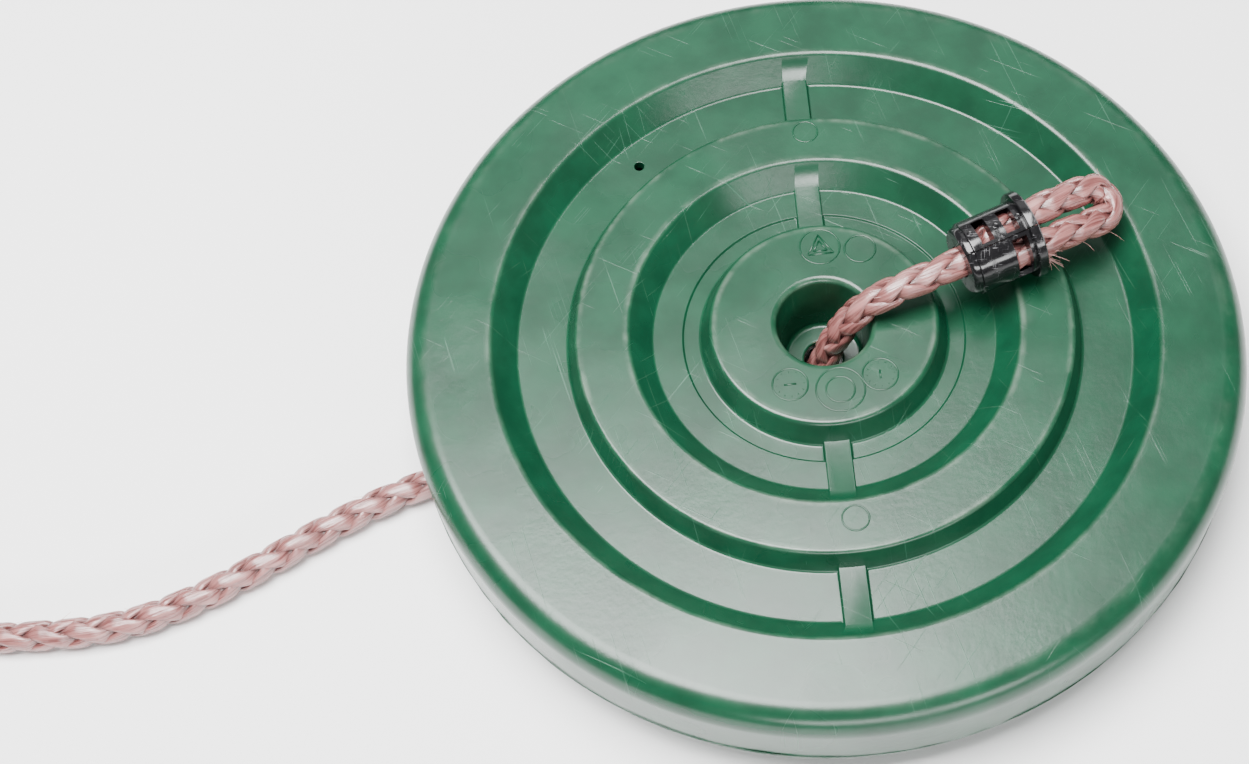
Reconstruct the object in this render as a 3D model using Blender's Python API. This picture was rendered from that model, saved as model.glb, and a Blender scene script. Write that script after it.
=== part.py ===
"""Disc swing on a single rope, lying on the floor with its underside up.

A hollow blow-moulded plastic seat hangs on one 10 mm rope.  The rope runs up through the hole
in the middle of the seat, turns back on itself and is held by a two-piece clamp, which stops in
the seat's counterbore when the swing hangs.  The other end turns round a steel hanging ring and
is held by a second clamp of the same kind.

Everything is in metres with +Z up.  The seat's left rim lies on the rope, so the seat is tilted
a little about Y.  The spare rope lies in a flat coil to the left of the seat.
"""

import bpy
from math import asin, atan2, ceil, cos, degrees, pi, radians, sin, tan
from mathutils import Matrix, Vector

MM = 0.001

# Seat, in its own frame: Z is the axis of the rope hole, and the sitting face is at z = 0.
SEAT_RADIUS = 140.0 * MM
SEAT_HEIGHT = 39.0 * MM
SEAT_WALL = 3.5 * MM
RING_TOP = 38.0 * MM          # hub and middle ring lie 1 mm below the outer ring
INNER_FLOOR = 29.2 * MM       # groove between the hub and the middle ring
OUTER_FLOOR = 30.0 * MM       # groove between the middle ring and the outer ring
DISH_DEPTH = 5.5 * MM         # the sitting face is dished towards the rope hole
HOLE_RADIUS = 6.6 * MM
COUNTERBORE_FLOOR = 13.0 * MM
RIM_CONTACT_RADIUS = 127.0 * MM
SEAT_SEGMENTS = 60
VENT_RADIUS = 1.7 * MM
VENT_PLACE = (94.0 * MM, 126.0)   # distance from the axis, and angle in degrees
BAR_ANGLE = 88.0                  # the ribs in the grooves lie on one diameter
BAR_WIDTH = 9.0 * MM
BAR_HEIGHT = 1.6 * MM

# Rope
ROPE_RADIUS = 5.0 * MM
ROPE_GAP = 0.3 * MM
UNDER_RIM = 10.7 * MM         # height of the left rim, which lies on the rope

# Clamp, in its own frame: X runs from the rope's neck to the loop, Y across the two legs.
CLAMP_RADIUS = 12.6 * MM
CLAMP_FLANGE_RADIUS = 14.8 * MM
CLAMP_START = -12.6 * MM
CLAMP_FLANGE_START = 9.2 * MM
CLAMP_END = 12.6 * MM
CLAMP_SPLIT_GAP = 0.3 * MM
CHANNEL_RADIUS = 5.6 * MM
LEG_OFFSET = 5.4 * MM

# Windows through a half's wall: start, end, nearest and farthest distance from the split, lowest height
SMALL_WINDOWS = [
    (-6.3 * MM, -1.9 * MM, 1.4 * MM, 9.6 * MM, 2.0 * MM),
    (2.5 * MM, 7.2 * MM, 1.4 * MM, 9.6 * MM, 2.0 * MM),
]
TALL_WINDOW = [(2.7 * MM, 8.0 * MM, 1.4 * MM, 14.0 * MM, 1.0 * MM)]

# Loops beyond the clamps: radius at the crown, and the distance of its centre from the clamp's middle
STOP_LOOP = (5.7 * MM, 38.5 * MM)
EYE_LOOP = (9.2 * MM, 35.5 * MM)

STOP_CLAMP_PLACE = (59.6 * MM, 12.3 * MM, 55.1 * MM)
STOP_CLAMP_HEADING = 16.5     # degrees from +X towards +Y
STOP_CLAMP_PITCH = 2.0
STOP_CLAMP_ROLL = 22.8        # the leg on the far side lies higher
LOOP_DROOP = 9.5 * MM         # how far the free loop sinks onto the seat
LOOP_BEND = 0.13              # how far it leans to the left, per unit of length

# Coil of spare rope
COIL_CENTRE = (-372.0 * MM, 4.0 * MM)
COIL_RADIUS = 52.0 * MM       # middle of the bundle
COIL_TURNS_HEIGHT = 2
COIL_LIFT = 1.7 * MM          # the bundle rests on the ties that pass under it
TIE_ANGLES = (35.0, 215.0)    # round the coil, in degrees from +X
TIE_WIDTH = 4.8 * MM
TIE_THICKNESS = 1.3 * MM
TIE_HEAD = 6.5 * MM

# Hanging ring and the rope's eye round it
EYE_CLAMP_PLACE = (COIL_CENTRE[0] - COIL_RADIUS - ROPE_RADIUS - ROPE_GAP, 80.0 * MM, 15.7 * MM)
RING_WIRE_RADIUS = 3.0 * MM
RING_RADIUS = 25.0 * MM       # to the middle of the wire

# Rope routes between the pieces, as points on the middle of the rope.
NECK_ROUTE = [
    (38.0 * MM, 5.7 * MM, 54.2 * MM),
    (29.0 * MM, 3.5 * MM, 53.5 * MM),
    (20.0 * MM, 1.9 * MM, 50.6 * MM),
    (12.6 * MM, 1.1 * MM, 45.0 * MM),
    (7.2 * MM, 0.6 * MM, 36.8 * MM),
    (3.4 * MM, 0.3 * MM, 28.2 * MM),
    (1.0 * MM, 0.0 * MM, 21.0 * MM),
]
FLOOR_ROUTE = [
    (-0.2 * MM, 0.0 * MM, 16.5 * MM),
    (-1.8 * MM, -0.2 * MM, 11.6 * MM),
    (-5.6 * MM, -0.8 * MM, 7.4 * MM),
    (-11.0 * MM, -1.6 * MM, 5.3 * MM),
    (-18.0 * MM, -2.6 * MM, 5.0 * MM),
    (-45.0 * MM, -6.4 * MM, 5.0 * MM),
    (-80.0 * MM, -10.8 * MM, 5.0 * MM),
    (-115.0 * MM, -15.4 * MM, 5.0 * MM),
    (-141.0 * MM, -20.0 * MM, 5.0 * MM),
    (-160.0 * MM, -25.5 * MM, 5.0 * MM),
    (-180.0 * MM, -33.5 * MM, 5.0 * MM),
    (-200.0 * MM, -42.5 * MM, 5.0 * MM),
    (-220.0 * MM, -50.5 * MM, 5.0 * MM),
    (-240.0 * MM, -55.8 * MM, 5.0 * MM),
    (-258.0 * MM, -57.2 * MM, 5.0 * MM),
    (-276.0 * MM, -56.2 * MM, 5.0 * MM),
    (-296.0 * MM, -54.4 * MM, 5.0 * MM),
    (-316.0 * MM, -53.5 * MM, 5.0 * MM),
    (-335.0 * MM, -53.3 * MM, 5.0 * MM),
]
LEAD_ROUTE = [
    (-429.3 * MM, 38.0 * MM, 16.4 * MM),
    (-429.3 * MM, 47.0 * MM, 16.1 * MM),
    (-429.3 * MM, 57.0 * MM, 15.8 * MM),
]

# Loop outline in a clamp's frame, from the neck to the crown: (along, across).
LOOP_LEG = [
    (CLAMP_START, 0.0),
    (-9.0 * MM, 0.2 * MM),
    (-4.5 * MM, 1.7 * MM),
    (0.5 * MM, 4.2 * MM),
    (6.0 * MM, LEG_OFFSET),
    (CLAMP_END, LEG_OFFSET),
]
TAIL_START = 4.0 * MM         # the rope's cut end lies inside the clamp

GREEN = (0.05, 0.21, 0.12, 1.0)
BLACK = (0.012, 0.012, 0.013, 1.0)
ROSE = (0.62, 0.36, 0.34, 1.0)
ZINC = (0.60, 0.61, 0.62, 1.0)


def clear_scene():
    for obj in list(bpy.data.objects):
        bpy.data.objects.remove(obj, do_unlink=True)


def make_material(name, colour, roughness, metallic=0.0):
    material = bpy.data.materials.new(name)
    material.use_nodes = True
    shader = material.node_tree.nodes["Principled BSDF"]
    shader.inputs["Base Color"].default_value = colour
    shader.inputs["Roughness"].default_value = roughness
    shader.inputs["Metallic"].default_value = metallic
    return material


def mesh_object(name, points, faces, material=None):
    mesh = bpy.data.meshes.new(name)
    mesh.from_pydata([tuple(point) for point in points], [], faces)
    mesh.validate()
    obj = bpy.data.objects.new(name, mesh)
    bpy.context.collection.objects.link(obj)
    if material:
        mesh.materials.append(material)
    return obj


def rounded_outline(corners, step):
    """Round the corners (r, z, radius) of a closed outline, with arcs in steps of so many degrees."""
    outline = []
    count = len(corners)
    for index, (x, z, radius) in enumerate(corners):
        here = Vector((x, z))
        before = Vector(corners[index - 1][:2])
        after = Vector(corners[(index + 1) % count][:2])
        to_before = (before - here).normalized()
        to_after = (after - here).normalized()
        opening = to_before.angle(to_after)
        if radius == 0.0 or opening > radians(178.0):
            outline.append(here)
            continue
        cut = radius / tan(opening / 2.0)
        bisector = (to_before + to_after).normalized()
        centre = here + bisector * (radius / sin(opening / 2.0))
        first = here + to_before * cut - centre
        last = here + to_after * cut - centre
        turn = atan2(first.x * last.y - first.y * last.x, first.dot(last))
        pieces = max(1, ceil(abs(degrees(turn)) / step))
        for piece in range(pieces + 1):
            angle = turn * piece / pieces
            outline.append(centre + Vector((
                first.x * cos(angle) - first.y * sin(angle),
                first.x * sin(angle) + first.y * cos(angle),
            )))
    return outline


def anticlockwise(outline):
    """The outline, turned round if it runs clockwise, so that the turned body faces outwards."""
    double_area = 0.0
    for (r1, z1), (r2, z2) in zip(outline, outline[1:] + outline[:1]):
        double_area += r1 * z2 - r2 * z1
    return outline if double_area > 0.0 else outline[::-1]


def turned(name, outline, segments, material=None):
    """Turn a closed outline of (radius, height) once round the Z axis."""
    outline = anticlockwise(outline)
    points = []
    for segment in range(segments):
        angle = 2.0 * pi * segment / segments
        points += [(r * cos(angle), r * sin(angle), z) for r, z in outline]
    count = len(outline)
    faces = []
    for segment in range(segments):
        here = segment * count
        there = (segment + 1) % segments * count
        for index in range(count):
            following = (index + 1) % count
            faces.append((here + index, there + index, there + following, here + following))
    return mesh_object(name, points, faces, material)


def prism(name, section, start, end, material=None):
    """Extrude a section of (y, z) points, given anticlockwise, along X."""
    count = len(section)
    points = [(start, y, z) for y, z in section] + [(end, y, z) for y, z in section]
    faces = [tuple(range(count - 1, -1, -1)), tuple(range(count, 2 * count))]
    for index in range(count):
        following = (index + 1) % count
        faces.append((index, following, count + following, count + index))
    return mesh_object(name, points, faces, material)


def box(name, low, high, material=None):
    section = [(low[1], low[2]), (high[1], low[2]), (high[1], high[2]), (low[1], high[2])]
    return prism(name, section, low[0], high[0], material)


def boolean(obj, cutter, operation):
    """Cut the cutter away from the object or join it to the object, and remove the cutter."""
    modifier = obj.modifiers.new(cutter.name, "BOOLEAN")
    modifier.operation = operation
    modifier.solver = "EXACT"
    modifier.object = cutter
    cutter.hide_render = True
    graph = bpy.context.evaluated_depsgraph_get()
    mesh = bpy.data.meshes.new_from_object(obj.evaluated_get(graph))
    obj.modifiers.clear()
    obj.data = mesh
    bpy.data.objects.remove(cutter, do_unlink=True)


def smooth_route(points, spacing):
    """Points at about the given spacing on a Catmull-Rom curve through the route's points."""
    route = [Vector(point) for point in points]
    ends = [route[0] * 2.0 - route[1]] + route + [route[-1] * 2.0 - route[-2]]
    curve = []
    for index in range(1, len(ends) - 2):
        p0, p1, p2, p3 = ends[index - 1:index + 3]
        pieces = max(1, round((p2 - p1).length / spacing))
        for piece in range(pieces):
            t = piece / pieces
            curve.append(0.5 * (
                2.0 * p1 + (p2 - p0) * t
                + (2.0 * p0 - 5.0 * p1 + 4.0 * p2 - p3) * t * t
                + (3.0 * p1 - p0 - 3.0 * p2 + p3) * t * t * t
            ))
    curve.append(route[-1])
    return curve


def rope(name, points, material):
    """A round rope along the points, as a curve with a bevel."""
    data = bpy.data.curves.new(name, "CURVE")
    data.dimensions = "3D"
    data.bevel_depth = ROPE_RADIUS
    data.bevel_resolution = 3
    data.use_fill_caps = True
    data.materials.append(material)
    spline = data.splines.new("POLY")
    spline.points.add(len(points) - 1)
    for place, point in zip(spline.points, points):
        place.co = (*point, 1.0)
    obj = bpy.data.objects.new(name, data)
    bpy.context.collection.objects.link(obj)
    return obj


def seat_outline():
    """The seat's outside, from the rope hole over the underside and round to the sitting face."""
    corners = [
        (HOLE_RADIUS, COUNTERBORE_FLOOR, 0.8 * MM),
        (13.2 * MM, COUNTERBORE_FLOOR, 1.5 * MM),
        (16.0 * MM, RING_TOP, 2.2 * MM),
        (38.0 * MM, RING_TOP, 1.8 * MM),
        (41.5 * MM, INNER_FLOOR, 1.2 * MM),
        (47.0 * MM, INNER_FLOOR, 0.0),
        (47.6 * MM, INNER_FLOOR + 0.6 * MM, 0.0),
        (57.6 * MM, INNER_FLOOR + 0.6 * MM, 1.2 * MM),
        (65.0 * MM, RING_TOP, 2.0 * MM),
        (82.8 * MM, RING_TOP, 1.6 * MM),
        (86.0 * MM, OUTER_FLOOR, 1.2 * MM),
        (103.0 * MM, OUTER_FLOOR, 1.5 * MM),
        (110.8 * MM, SEAT_HEIGHT, 2.5 * MM),
        (SEAT_RADIUS, SEAT_HEIGHT, 9.0 * MM),
        (SEAT_RADIUS, 0.0, 12.0 * MM),
        (118.0 * MM, 0.0, 0.0),
        (62.0 * MM, DISH_DEPTH, 0.0),
        (HOLE_RADIUS, DISH_DEPTH, 5.0 * MM),
    ]
    return rounded_outline(corners, 30.0)


def cavity_outline():
    """The hollow inside the seat, one wall thickness inside its outline."""
    wall = SEAT_WALL
    floor = DISH_DEPTH + wall
    corners = [
        (17.2 * MM, floor, 1.5 * MM),
        (19.6 * MM, RING_TOP - wall, 1.5 * MM),
        (35.6 * MM, RING_TOP - wall, 1.5 * MM),
        (38.8 * MM, INNER_FLOOR - wall, 0.0),
        (60.0 * MM, INNER_FLOOR - wall, 0.0),
        (67.0 * MM, RING_TOP - wall, 1.5 * MM),
        (80.6 * MM, RING_TOP - wall, 1.5 * MM),
        (83.8 * MM, OUTER_FLOOR - wall, 0.0),
        (105.3 * MM, OUTER_FLOOR - wall, 0.0),
        (112.6 * MM, SEAT_HEIGHT - wall, 1.5 * MM),
        (SEAT_RADIUS - wall, SEAT_HEIGHT - wall, 5.5 * MM),
        (SEAT_RADIUS - wall, wall, 8.5 * MM),
        (118.0 * MM, wall, 0.0),
        (62.0 * MM, floor, 0.0),
    ]
    return rounded_outline(corners, 45.0)


def seat_matrix():
    """Seat tilted about Y so that its left rim clears the rope, with its outline's middle over
    the origin and its lowest point on the floor."""
    tilt = asin(UNDER_RIM / (2.0 * RIM_CONTACT_RADIUS))
    outline = seat_outline()
    right = max(r * cos(tilt) + z * sin(tilt) for r, z in outline)
    left = min(-r * cos(tilt) + z * sin(tilt) for r, z in outline)
    lowest = min(-r * sin(tilt) + z * cos(tilt) for r, z in outline)
    place = Matrix.Translation((-(left + right) / 2.0, 0.0, -lowest))
    return place @ Matrix.Rotation(tilt, 4, "Y")


def groove_rib(start, end, floor, angle):
    """A low rib across a groove's floor, which runs a little way into both walls."""
    rib = box("rib", (start, -BAR_WIDTH / 2.0, floor - 1.0 * MM),
              (end, BAR_WIDTH / 2.0, floor + BAR_HEIGHT))
    rib.rotation_euler.z = radians(angle)
    return rib


def make_seat(material):
    seat = turned("seat_disc", seat_outline(), SEAT_SEGMENTS, material)
    for angle in (BAR_ANGLE, BAR_ANGLE + 180.0):
        boolean(seat, groove_rib(39.5 * MM, 60.0 * MM, INNER_FLOOR, angle), "UNION")
        boolean(seat, groove_rib(84.0 * MM, 105.5 * MM, OUTER_FLOOR, angle), "UNION")
    boolean(seat, turned("cavity", cavity_outline(), SEAT_SEGMENTS), "DIFFERENCE")
    distance, angle = VENT_PLACE
    low = OUTER_FLOOR - 2.0 * SEAT_WALL
    vent = turned("vent", [(0.0, low), (VENT_RADIUS, low), (VENT_RADIUS, SEAT_HEIGHT),
                           (0.0, SEAT_HEIGHT)], 12)
    vent.location = (distance * cos(radians(angle)), distance * sin(radians(angle)), 0.0)
    boolean(seat, vent, "DIFFERENCE")
    seat.matrix_world = seat_matrix()


def clamp_matrix(place, heading, pitch, roll):
    return (
        Matrix.Translation(place)
        @ Matrix.Rotation(radians(heading), 4, "Z")
        @ Matrix.Rotation(-radians(pitch), 4, "Y")
        @ Matrix.Rotation(radians(roll), 4, "X")
    )


def stop_clamp_matrix():
    return clamp_matrix(STOP_CLAMP_PLACE, STOP_CLAMP_HEADING, STOP_CLAMP_PITCH, STOP_CLAMP_ROLL)


def eye_clamp_matrix():
    """The eye's two legs lie one above the other, with the tail on top."""
    return clamp_matrix(EYE_CLAMP_PLACE, 90.0, 0.0, -90.0)


def clamp_half(name, side, windows, material):
    """Half of a clamp: side 1 holds one leg of the rope and side -1 the other."""
    half_gap = CLAMP_SPLIT_GAP / 2.0
    stations = [
        (CLAMP_START, CLAMP_RADIUS - 1.0 * MM),
        (CLAMP_START + 1.0 * MM, CLAMP_RADIUS),
        (CLAMP_FLANGE_START, CLAMP_RADIUS),
        (CLAMP_FLANGE_START + 0.5 * MM, CLAMP_FLANGE_RADIUS),
        (CLAMP_END, CLAMP_FLANGE_RADIUS),
    ]
    steps = 12
    points = []
    for along, radius in stations:
        for step in range(steps + 1):
            angle = pi * step / steps - pi / 2.0
            across = max(radius * cos(angle), half_gap)
            points.append((along, side * across, side * radius * sin(angle)))
    count = steps + 1
    faces = [tuple(range(count - 1, -1, -1))]
    faces.append(tuple(range((len(stations) - 1) * count, len(stations) * count)))
    for station in range(len(stations) - 1):
        here = station * count
        for index in range(count):
            following = (index + 1) % count
            faces.append((here + index, here + following, here + count + following,
                          here + count + index))
    half = mesh_object(name, points, faces, material)

    channel = []
    for step in range(9):
        angle = pi * step / 8.0 - pi / 2.0
        channel.append((side * (LEG_OFFSET + CHANNEL_RADIUS * cos(angle)),
                        side * CHANNEL_RADIUS * sin(angle)))
    channel.append((-side * 2.0 * MM, side * CHANNEL_RADIUS))
    channel.append((-side * 2.0 * MM, -side * CHANNEL_RADIUS))
    boolean(half, prism("channel", channel, CLAMP_START + 3.2 * MM, CLAMP_END + 1.0 * MM),
            "DIFFERENCE")
    neck = [(CHANNEL_RADIUS * cos(pi * step / 8.0), CHANNEL_RADIUS * sin(pi * step / 8.0))
            for step in range(16)]
    boolean(half, prism("neck", neck, CLAMP_START - 1.0 * MM, CLAMP_START + 6.0 * MM),
            "DIFFERENCE")
    for start, end, inner, outer, lowest in windows:
        low = min(side * inner, side * outer)
        high = max(side * inner, side * outer)
        boolean(half, box("window", (start, low, lowest), (end, high, 18.0 * MM)), "DIFFERENCE")
    return half


def make_clamp(prefix, matrix, material):
    window_half = clamp_half(prefix + "_window_half", 1, SMALL_WINDOWS, material)
    plain_half = clamp_half(prefix + "_plain_half", -1, TALL_WINDOW, material)
    window_half.matrix_world = matrix
    plain_half.matrix_world = matrix


def loop_points(matrix, loop, droop, bend):
    """The rope's loop from the neck, round the crown and back to the cut end inside the clamp."""
    radius, centre = loop
    leg = list(LOOP_LEG)
    for step in range(1, 4):
        share = step / 4.0
        leg.append((CLAMP_END + (centre - CLAMP_END) * share,
                    LEG_OFFSET + (radius - LEG_OFFSET) * share * share * (3.0 - 2.0 * share)))
    outline = list(leg)
    for step in range(7):
        angle = pi / 2.0 - pi * step / 6.0
        outline.append((centre + radius * cos(angle), radius * sin(angle)))
    outline += [(along, -across) for along, across in reversed(leg) if along > TAIL_START]
    outline.append((TAIL_START, -LEG_OFFSET))
    reach = centre + radius - CLAMP_END
    points = []
    for along, across in outline:
        free = max(0.0, along - CLAMP_END)
        point = matrix @ Vector((along, across + bend * free, 0.0))
        point.z -= droop * (free / reach) ** 1.3
        points.append(point)
    return points


def coil_outline():
    """Section of the coiled bundle: two turns wide and two high."""
    half = 2.0 * ROPE_RADIUS + 0.6 * MM
    height = COIL_TURNS_HEIGHT * 2.0 * ROPE_RADIUS + 0.4 * MM
    corner = 3.5 * MM
    return rounded_outline([
        (COIL_RADIUS - half, 0.0, corner),
        (COIL_RADIUS + half, 0.0, corner),
        (COIL_RADIUS + half, height, corner),
        (COIL_RADIUS - half, height, corner),
    ], 30.0)


def make_coil_tie(name, angle, material):
    """A cable tie round the bundle, with its head on the outer side."""
    inner = [point + Vector((0.0, COIL_LIFT)) for point in coil_outline()]
    middle = Vector((COIL_RADIUS, COIL_LIFT + COIL_TURNS_HEIGHT * ROPE_RADIUS))
    points = []
    for point in inner:
        away = (point - middle).normalized()
        near = point + away * ROPE_GAP
        far = near + away * TIE_THICKNESS * 0.99
        for place in (near, far):
            for side in (-TIE_WIDTH / 2.0, TIE_WIDTH / 2.0):
                points.append((place.x, side, max(0.0, place.y)))
    faces = []
    count = len(inner)
    for index in range(count):
        here = index * 4
        there = (index + 1) % count * 4
        for first, second in ((0, 1), (1, 3), (3, 2), (2, 0)):
            faces.append((here + first, here + second, there + second, there + first))
    tie = mesh_object(name, points, faces, material)
    outside = COIL_RADIUS + 2.0 * ROPE_RADIUS + 0.6 * MM + ROPE_GAP
    head = box("head", (outside + 0.5 * MM, -TIE_HEAD / 2.0, middle.y - TIE_HEAD / 2.0),
               (outside + TIE_HEAD - 1.5 * MM, TIE_HEAD / 2.0, middle.y + TIE_HEAD / 2.0))
    boolean(tie, head, "UNION")
    tie.location = (*COIL_CENTRE, 0.0)
    tie.rotation_euler.z = radians(angle)


def make_hanging_ring(material):
    """The ring's near side lies in the rope's eye, and its far side on the floor."""
    outline = [(RING_RADIUS + RING_WIRE_RADIUS * cos(pi * step / 6.0),
                RING_WIRE_RADIUS * sin(pi * step / 6.0)) for step in range(12)]
    ring = turned("hanging_ring", outline, 48, material)
    pivot = eye_clamp_matrix() @ Vector((EYE_LOOP[1], 0.0, 0.0))
    lean = asin((pivot.z - RING_WIRE_RADIUS) / (2.0 * RING_RADIUS))
    for vertex in ring.data.vertices:
        vertex.co.y += RING_RADIUS
    ring.matrix_world = Matrix.Translation(pivot) @ Matrix.Rotation(-lean, 4, "X")


def build():
    clear_scene()
    green = make_material("green_polyethylene", GREEN, 0.35)
    black = make_material("black_polypropylene", BLACK, 0.3)
    rose = make_material("rose_rope", ROSE, 0.6)
    zinc = make_material("zinc_plated_steel", ZINC, 0.35, 1.0)

    make_seat(green)
    make_clamp("stop_clamp", stop_clamp_matrix(), black)
    make_clamp("eye_clamp", eye_clamp_matrix(), black)

    stop_end = loop_points(stop_clamp_matrix(), STOP_LOOP, LOOP_DROOP, LOOP_BEND)
    stop_end.reverse()
    rope("rope_stop_end", smooth_route(stop_end + NECK_ROUTE, 4.0 * MM), rose)
    rope("rope_main", smooth_route(FLOOR_ROUTE, 9.0 * MM), rose)
    coil = turned("rope_coil", coil_outline(), 48, rose)
    coil.location = (*COIL_CENTRE, COIL_LIFT)
    for number, angle in enumerate(TIE_ANGLES, start=1):
        make_coil_tie(f"coil_tie_{number}", angle, black)
    eye_end = LEAD_ROUTE + loop_points(eye_clamp_matrix(), EYE_LOOP, 0.0, 0.0)
    rope("rope_eye_end", smooth_route(eye_end, 4.0 * MM), rose)

    make_hanging_ring(zinc)


build()
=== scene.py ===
"""Looks of the disc swing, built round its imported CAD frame.

Everything is in metres, in the frame of the CAD.  The pieces are:
  seat      a finely turned shell with ribs, vent hole, moulded marks and the flash of its parting line
  rope      eight plaited strands on one route, frayed ends at the clamp and a few stray hairs
  clamps    two halves each, with windows, flange, ejector marks and rounded edges
  coil ties and the hanging ring, which lie outside the camera's view
"""

import random
from math import asin, atan2, ceil, cos, degrees, pi, radians, sin, tan

import bpy
from mathutils import Matrix, Vector


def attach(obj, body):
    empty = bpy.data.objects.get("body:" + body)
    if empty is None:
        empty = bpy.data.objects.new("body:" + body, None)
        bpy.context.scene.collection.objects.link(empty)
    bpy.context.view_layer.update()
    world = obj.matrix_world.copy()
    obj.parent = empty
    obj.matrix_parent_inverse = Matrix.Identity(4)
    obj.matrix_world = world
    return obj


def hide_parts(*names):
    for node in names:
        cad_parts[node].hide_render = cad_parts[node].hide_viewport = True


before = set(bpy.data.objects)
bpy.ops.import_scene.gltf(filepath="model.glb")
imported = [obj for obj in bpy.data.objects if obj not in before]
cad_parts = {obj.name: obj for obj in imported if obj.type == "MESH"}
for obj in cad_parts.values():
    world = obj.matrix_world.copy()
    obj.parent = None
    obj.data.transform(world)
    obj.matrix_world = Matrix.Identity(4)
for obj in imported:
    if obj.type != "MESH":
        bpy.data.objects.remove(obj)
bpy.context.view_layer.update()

MM = 0.001

# ---------------------------------------------------------------- measures shared with the CAD

SEAT_RADIUS = 140.0 * MM
SEAT_HEIGHT = 39.0 * MM
SEAT_WALL = 3.5 * MM
RING_TOP = 38.0 * MM
INNER_FLOOR = 29.2 * MM
OUTER_FLOOR = 30.0 * MM
DISH_DEPTH = 5.5 * MM
HOLE_RADIUS = 6.6 * MM
COUNTERBORE_FLOOR = 13.0 * MM
RIM_CONTACT_RADIUS = 127.0 * MM
VENT_RADIUS = 1.7 * MM
VENT_PLACE = (94.0 * MM, 126.0)
BAR_ANGLE = 88.0
BAR_WIDTH = 9.0 * MM
BAR_HEIGHT = 1.6 * MM
MARK_LINE = 0.33 * MM
# Moulded circles: distance from the seat's middle, angle in degrees, diameter
MARK_CIRCLES = [
    (29.3 * MM, 85.0, 13.6 * MM),
    (31.0 * MM, 59.0, 10.5 * MM),
    (26.1 * MM, -123.0, 11.7 * MM),
    (25.9 * MM, -86.0, 16.0 * MM),
    (25.9 * MM, -86.0, 9.4 * MM),
    (26.9 * MM, -55.0, 11.7 * MM),
    (77.0 * MM, 87.0, 8.6 * MM),
    (71.6 * MM, -90.0, 8.6 * MM),
]

ROPE_RADIUS = 5.0 * MM
ROPE_GAP = 0.3 * MM
UNDER_RIM = 10.7 * MM

CLAMP_RADIUS = 12.6 * MM
CLAMP_FLANGE_RADIUS = 14.8 * MM
CLAMP_START = -12.6 * MM
CLAMP_FLANGE_START = 9.2 * MM
CLAMP_END = 12.6 * MM
CLAMP_SPLIT_GAP = 0.3 * MM
CHANNEL_RADIUS = 5.6 * MM
LEG_OFFSET = 5.4 * MM
# Windows through a half's wall: start, end, nearest and farthest distance from the split, lowest height
SMALL_WINDOWS = [
    (-6.3 * MM, -1.9 * MM, 1.4 * MM, 9.6 * MM, 2.0 * MM),
    (2.5 * MM, 7.2 * MM, 1.4 * MM, 9.6 * MM, 2.0 * MM),
]
TALL_WINDOW = [(2.7 * MM, 8.0 * MM, 1.4 * MM, 14.0 * MM, 1.0 * MM)]
EJECTOR_MARKS = [(-8.4 * MM, 6.2 * MM), (0.3 * MM, 5.4 * MM), (8.2 * MM, 5.4 * MM)]

STOP_LOOP = (5.7 * MM, 38.5 * MM)     # radius at the crown, and its centre from the clamp's middle
EYE_LOOP = (9.2 * MM, 35.5 * MM)
LOOP_DROOP = 9.5 * MM
LOOP_BEND = 0.13

COIL_CENTRE = (-372.0 * MM, 4.0 * MM)
COIL_RADIUS = 52.0 * MM

RING_WIRE_RADIUS = 3.0 * MM
RING_RADIUS = 25.0 * MM

# Rope route from the neck to the coil and from the coil to the eye, as in the CAD.
NECK_ROUTE = [
    (38.0 * MM, 5.7 * MM, 54.2 * MM),
    (29.0 * MM, 3.5 * MM, 53.5 * MM),
    (20.0 * MM, 1.9 * MM, 50.6 * MM),
    (12.6 * MM, 1.1 * MM, 45.0 * MM),
    (7.2 * MM, 0.6 * MM, 36.8 * MM),
    (3.4 * MM, 0.3 * MM, 28.2 * MM),
    (1.0 * MM, 0.0 * MM, 21.0 * MM),
]
FLOOR_ROUTE = [
    (-0.2 * MM, 0.0 * MM, 16.5 * MM),
    (-1.8 * MM, -0.2 * MM, 11.6 * MM),
    (-5.6 * MM, -0.8 * MM, 7.4 * MM),
    (-11.0 * MM, -1.6 * MM, 5.3 * MM),
    (-18.0 * MM, -2.6 * MM, 5.0 * MM),
    (-45.0 * MM, -6.4 * MM, 5.0 * MM),
    (-80.0 * MM, -10.8 * MM, 5.0 * MM),
    (-115.0 * MM, -15.4 * MM, 5.0 * MM),
    (-141.0 * MM, -20.0 * MM, 5.0 * MM),
    (-160.0 * MM, -25.5 * MM, 5.0 * MM),
    (-180.0 * MM, -33.5 * MM, 5.0 * MM),
    (-200.0 * MM, -42.5 * MM, 5.0 * MM),
    (-220.0 * MM, -50.5 * MM, 5.0 * MM),
    (-240.0 * MM, -55.8 * MM, 5.0 * MM),
    (-258.0 * MM, -57.2 * MM, 5.0 * MM),
    (-276.0 * MM, -56.2 * MM, 5.0 * MM),
    (-296.0 * MM, -54.4 * MM, 5.0 * MM),
    (-316.0 * MM, -53.5 * MM, 5.0 * MM),
    (-335.0 * MM, -53.3 * MM, 5.0 * MM),
    (-354.0 * MM, -53.2 * MM, 6.3 * MM),
]
LEAD_ROUTE = [
    (-429.3 * MM, 20.0 * MM, 16.9 * MM),
    (-429.3 * MM, 38.0 * MM, 16.4 * MM),
    (-429.3 * MM, 47.0 * MM, 16.1 * MM),
    (-429.3 * MM, 57.0 * MM, 15.8 * MM),
]
LOOP_LEG = [
    (CLAMP_START, 0.0),
    (-9.0 * MM, 0.2 * MM),
    (-4.5 * MM, 1.7 * MM),
    (0.5 * MM, 4.2 * MM),
    (6.0 * MM, LEG_OFFSET),
    (CLAMP_END, LEG_OFFSET),
]
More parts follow.
